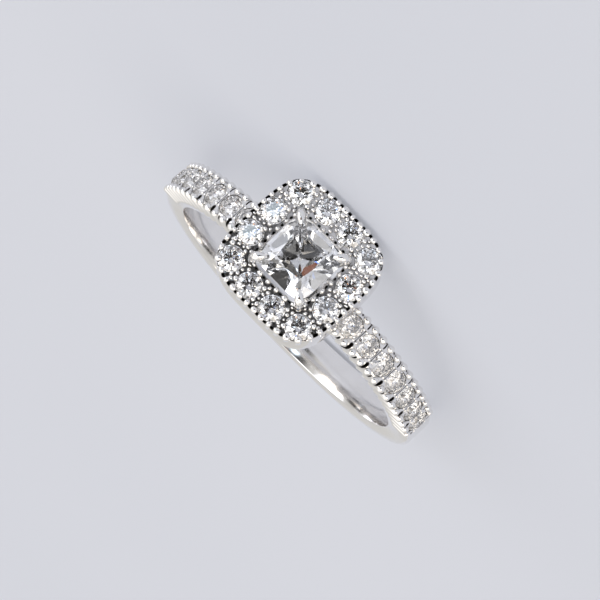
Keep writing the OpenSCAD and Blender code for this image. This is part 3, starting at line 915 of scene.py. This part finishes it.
def smooth_path(corners, steps):
    """A smooth curve through the corners, with the given number of steps to each stretch."""
    out = []
    for i in range(len(corners) - 1):
        a, b = corners[max(i - 1, 0)], corners[i]
        c, d = corners[i + 1], corners[min(i + 2, len(corners) - 1)]
        for s in range(steps):
            t = s / steps
            square, cube = 2 * a - 5 * b + 4 * c - d, 3 * b - a - 3 * c + d
            out.append(0.5 * (2 * b + (c - a) * t + square * t * t + cube * t ** 3))
    return out + [corners[-1]]


# A claw stands 0.2 mm outside of the stone's corner
CLAW_D = cushion_r(CENTRE_HALF, CENTRE_SQUARE, math.radians(45)) + 0.2
# Distance from the stone's middle, height and radius, from the girdle to the tip
CLAW_LINE = [(CLAW_D, CENTRE_Z - 0.25, 0.26), (CLAW_D, CENTRE_Z - 0.02, 0.27), (CLAW_D - 0.03, CENTRE_Z + 0.16, 0.27),
             (CLAW_D - 0.14, CENTRE_Z + 0.3, 0.26), (CLAW_D - 0.32, CENTRE_Z + 0.36, 0.22),
             (CLAW_D - 0.48, CENTRE_Z + 0.38, 0.16), (CLAW_D - 0.66, CENTRE_Z + 0.38, 0.06)]
# Two points of the post below it, from the hoop upwards
POST_LINE, POST_R = [(0.66, 0.44, 9.3), (1.1, 0.95, 10.8)], 0.24
CLAW_STEPS = 6
claws = []
for sx in (-1, 1):
    for sy in (-1, 1):
        corners = [Vector((sx * x, sy * y, z)) for x, y, z in POST_LINE]
        radii = [POST_R] * len(POST_LINE)
        for d, z, r in CLAW_LINE:
            corners.append(Vector((sx * d * math.sqrt(0.5), sy * d * math.sqrt(0.5), z)))
            radii.append(r)
        spread = [a + (b - a) * s / CLAW_STEPS for a, b in zip(radii, radii[1:]) for s in range(CLAW_STEPS)]
        claws.append(swept("claw", smooth_path(corners, CLAW_STEPS), spread + [radii[-1]],
                           materials=(bright_cut,)))
finish_piece("claws", joined(claws), "white_gold")

# %% [markdown]
# ## The bridges
# Two short bridges carry the cup on the hoop. They are soldered in and filed flush,
# and the seats of the first shoulder stones are drilled into their sides.
# %% Bridges
def rounded_block(name, size, middle, edge, materials=()):
    """A block with filed edges."""
    work = bmesh.new()
    bmesh.ops.create_cube(work, size=1.0)
    for v in work.verts:
        v.co = Vector([c * s for c, s in zip(v.co, size)]) + middle
    bmesh.ops.bevel(work, geom=list(work.edges), offset=edge, segments=3, affect="EDGES", profile=0.5)
    made = bpy.data.meshes.new(name)
    work.to_mesh(made)
    work.free()
    for m in materials:
        made.materials.append(m)
    return soften(made, 50)


# From the middle of the hoop's thickness to just inside the plate
low, high = (BORE_R + HOOP_R) / 2, PLATE_Z - PLATE_T + 0.05
BRIDGE_L, BRIDGE_W, BRIDGE_X, BRIDGE_EDGE = 0.9, 1.5, 3.05, 0.08
blocks = [rounded_block("bridge", (BRIDGE_L, BRIDGE_W, high - low), Vector((sx * BRIDGE_X, 0, (low + high) / 2)),
                        BRIDGE_EDGE, (rhodium_plate,)) for sx in (-1, 1)]
bridges = soften(cut_away("bridges", joined(blocks), [seats]), 50)
finish_piece("bridges", bridges, "white_gold")

# %% [markdown]
# ## The floor
# A pale, plain, matt sheet of opal acrylic, as on a light table. Half of its light
# comes through from below, so a shadow on it stays pale.
#
# The sheet ends 13 cm in front of the ring, outside every picture. A flat table facet
# that is seen at a slant mirrors a strip of the floor there, and the white sheet
# would turn the dark facets grey.
# %% Floor
FLOOR_HALF, FLOOR_FRONT = 3.0, -0.13
floor_mesh = mesh_from(
    "floor", [(-FLOOR_HALF, FLOOR_FRONT, 0), (FLOOR_HALF, FLOOR_FRONT, 0),
              (FLOOR_HALF, FLOOR_HALF, 0), (-FLOOR_HALF, FLOOR_HALF, 0)], [[0, 1, 2, 3]], False)
if floor_mesh.polygons[0].normal.z < 0:
    floor_mesh.flip_normals()
floor = bpy.data.objects.new("floor", floor_mesh)
bpy.context.scene.collection.objects.link(floor)
# Opal acrylic with a matt top: no shine, and a tone that drifts a little over 8 cm.
# THROUGH is the share of its light that comes from below. UNDER_LIGHT matches that
# share to what the room sends back from the top, so the sheet keeps its tone.
SHEET_CLOUD = 12.0
THROUGH, UNDER_LIGHT = 0.5, 1.05
opal = bpy.data.materials.new("opal_acrylic")
opal.use_nodes = True
tree = opal.node_tree
where = add(tree, "ShaderNodeTexCoord").outputs["Object"]
cloud = add(tree, "ShaderNodeTexNoise", {"Vector": where, "Scale": SHEET_CLOUD, "Detail": 1.0})
tone = add(tree, "ShaderNodeMix", {"Factor": cloud.outputs["Fac"]}, data_type="RGBA")
tone.inputs["A"].default_value = linear("#CED0D8")
tone.inputs["B"].default_value = linear("#C6C9D2")
from_above = add(tree, "ShaderNodeVectorMath", {0: tone.outputs["Result"]}, operation="SCALE")
from_above.inputs["Scale"].default_value = 1 - THROUGH
shader = tree.nodes["Principled BSDF"]
tree.links.new(from_above.outputs[0], shader.inputs["Base Color"])
tree.links.new(tone.outputs["Result"], shader.inputs["Emission Color"])
shader.inputs["Emission Strength"].default_value = THROUGH * UNDER_LIGHT
shader.inputs["Roughness"].default_value = 0.9
floor_mesh.materials.append(opal)

# %% [markdown]
# ## The room that the metal mirrors
# A diamond shows the room, cut up and thrown about, so the world is built as a small
# studio: a pale room, a soft ceiling light, a dark side where the camera
# stands, and a few windows. Each is a round patch of sky, given by its direction.
# Facets that look back at the camera turn dark, the ones beside them turn
# white, and that contrast is what makes a cut stone look cut.
#
# Blender bends all colours of light alike, so a stone makes no rainbow of its own.
# Two small coloured patches stand for that fire, and a brown one for something warm
# beside the camera.
# %% Room
world = bpy.data.worlds.new("room")
bpy.context.scene.world = world
world.use_nodes = True
tree = world.node_tree
look = add(tree, "ShaderNodeTexCoord").outputs["Generated"]
# Direction, angles in degrees where the patch is full and where it ends, colour, brightness.
# A later patch covers an earlier one.
PATCHES = [
    # The ceiling, and the dark side behind the camera
    ((0.0, -0.30, 1.0), 30, 62, "#FFFCF8", 1.15),
    ((-0.05, -0.97, 0.2), 24, 40, "#4A4846", 0.45),
    # The cool window that two halo stones catch with their tables
    ((0.28, -0.95, 0.13), 4.5, 6.5, "#DFECF8", 2.6),
    # Windows above the camera, which light the white facets and the beads
    ((0.45, -0.75, 0.50), 10, 13, "#F8F9FF", 3.2),
    ((-0.50, -0.80, 0.35), 7, 10, "#FFF6EA", 3.0),
    ((-0.15, -0.75, 0.65), 8, 11, "#FFFDF8", 3.2),
    # A window at each side, which the shoulders catch
    ((-0.85, -0.40, 0.35), 15, 21, "#FFF6EA", 3.0),
    ((0.85, -0.45, 0.30), 15, 21, "#F8F9FF", 3.0),
    # A dark lamp shade, which the fourth petal's crown facet mirrors
    ((0.15, -0.43, 0.89), 9, 13, "#4A4846", 0.45),
    # Something brown, and three small pale cards round the camera for the crown
    ((-0.335, -0.942, -0.022), 2.5, 3.7, "#9A5E42", 0.9),
    ((-0.240, -0.971, -0.020), 1.6, 2.6, "#F6F4F1", 0.6),
    ((-0.008, -1.000, -0.015), 1.0, 1.6, "#F1F3F8", 0.5),
    ((0.147, -0.977, 0.152), 1.0, 1.6, "#F6F4F1", 0.6),
    # Orange fire, a small window that draws the bright line between two petals, blue fire
    ((0.20, -0.85, 0.50), 2, 3, "#FFA24A", 2.2),
    ((-0.33, -0.83, 0.45), 3.5, 5, "#F8F9FF", 2.4),
    ((-0.18, -0.88, 0.44), 2, 3, "#6FA0FF", 2.0),
]
WALLS, WALL_LIGHT = "#F6F4F1", 0.72


def lit(tint, strength):
    """A colour at a brightness, as linear RGBA."""
    return [c * strength for c in linear(tint)[:3]] + [1.0]


colour = add(tree, "ShaderNodeRGB").outputs[0]
colour.default_value = lit(WALLS, WALL_LIGHT)
for way, full, end, tint, strength in PATCHES:
    facing = add(tree, "ShaderNodeVectorMath", {0: look}, operation="DOT_PRODUCT")
    facing.inputs[1].default_value = Vector(way).normalized()
    share = add(tree, "ShaderNodeMapRange", {
        "Value": facing.outputs["Value"], "From Min": math.cos(math.radians(end)),
        "From Max": math.cos(math.radians(full))}, interpolation_type="SMOOTHSTEP")
    patch = add(tree, "ShaderNodeMix", {"Factor": share.outputs["Result"]}, data_type="RGBA")
    tree.links.new(colour, patch.inputs["A"])
    patch.inputs["B"].default_value = lit(tint, strength)
    colour = patch.outputs["Result"]
tree.links.new(colour, tree.nodes["Background"].inputs["Color"])
tree.nodes["Background"].inputs["Strength"].default_value = 1.0
print("the room has", len(PATCHES), "patches")

# %% [markdown]
# ## One lamp
# The world lights everything evenly. A large square lamp high above the camera gives
# the ring one soft shadow, so that it lies on the sheet and doesn't float.
# %% Overhead lamp
LAMP_PLACE, LAMP_SIZE, LAMP_POWER = Vector((0.10, -0.20, 0.50)), 0.6, 0.25
lamp_data = bpy.data.lights.new("overhead", "AREA")
lamp_data.shape = "SQUARE"
lamp_data.size, lamp_data.energy = LAMP_SIZE, LAMP_POWER
lamp = bpy.data.objects.new("overhead", lamp_data)
lamp.matrix_world = Matrix.Translation(LAMP_PLACE) @ LAMP_PLACE.to_track_quat("Z", "Y").to_matrix().to_4x4()
bpy.context.scene.collection.objects.link(lamp)
print("the lamp is", round(LAMP_PLACE.length, 2), "m from the ring")

# %% [markdown]
# ## The camera
# The camera was fitted to the photograph: to the halo's outline, both ends of the hoop
# and its inner far side. It stands 25 cm away with a long lens, above the sheet, and
# is rolled by 132 degrees, so that down is towards the upper right of the picture.
# %% Camera
camera_data = bpy.data.cameras.new("camera")
# Lens and sensor in millimetres, and the nearest distance that is seen in metres
camera_data.lens, camera_data.sensor_width = 269.95, 36.0
camera_data.clip_start = 0.02
camera = bpy.data.objects.new("camera", camera_data)
# The picture's right and up, the way back from the ring, and the camera's place
right = Vector((-0.69088, -0.11294, -0.71409))
up = Vector((0.70932, -0.29693, -0.63930))
back = Vector((-0.13983, -0.94820, 0.28525))
place = Vector((-0.0348136, -0.2355146, 0.0732939))
turn = Matrix((right, up, back)).transposed().to_4x4()
camera.matrix_world = Matrix.Translation(place) @ turn
bpy.context.scene.collection.objects.link(camera)
bpy.context.scene.camera = camera
bpy.context.scene.view_settings.view_transform = "Standard"
# Light goes in and out of a stone many times
bpy.context.scene.cycles.glossy_bounces = 12
bpy.context.scene.cycles.transmission_bounces = 16
bpy.context.scene.cycles.max_bounces = 20
print("the camera stands", round(math.degrees(math.asin(back.z)), 1), "degrees above the floor")

for helper in helpers:
    bpy.data.objects.remove(helper)
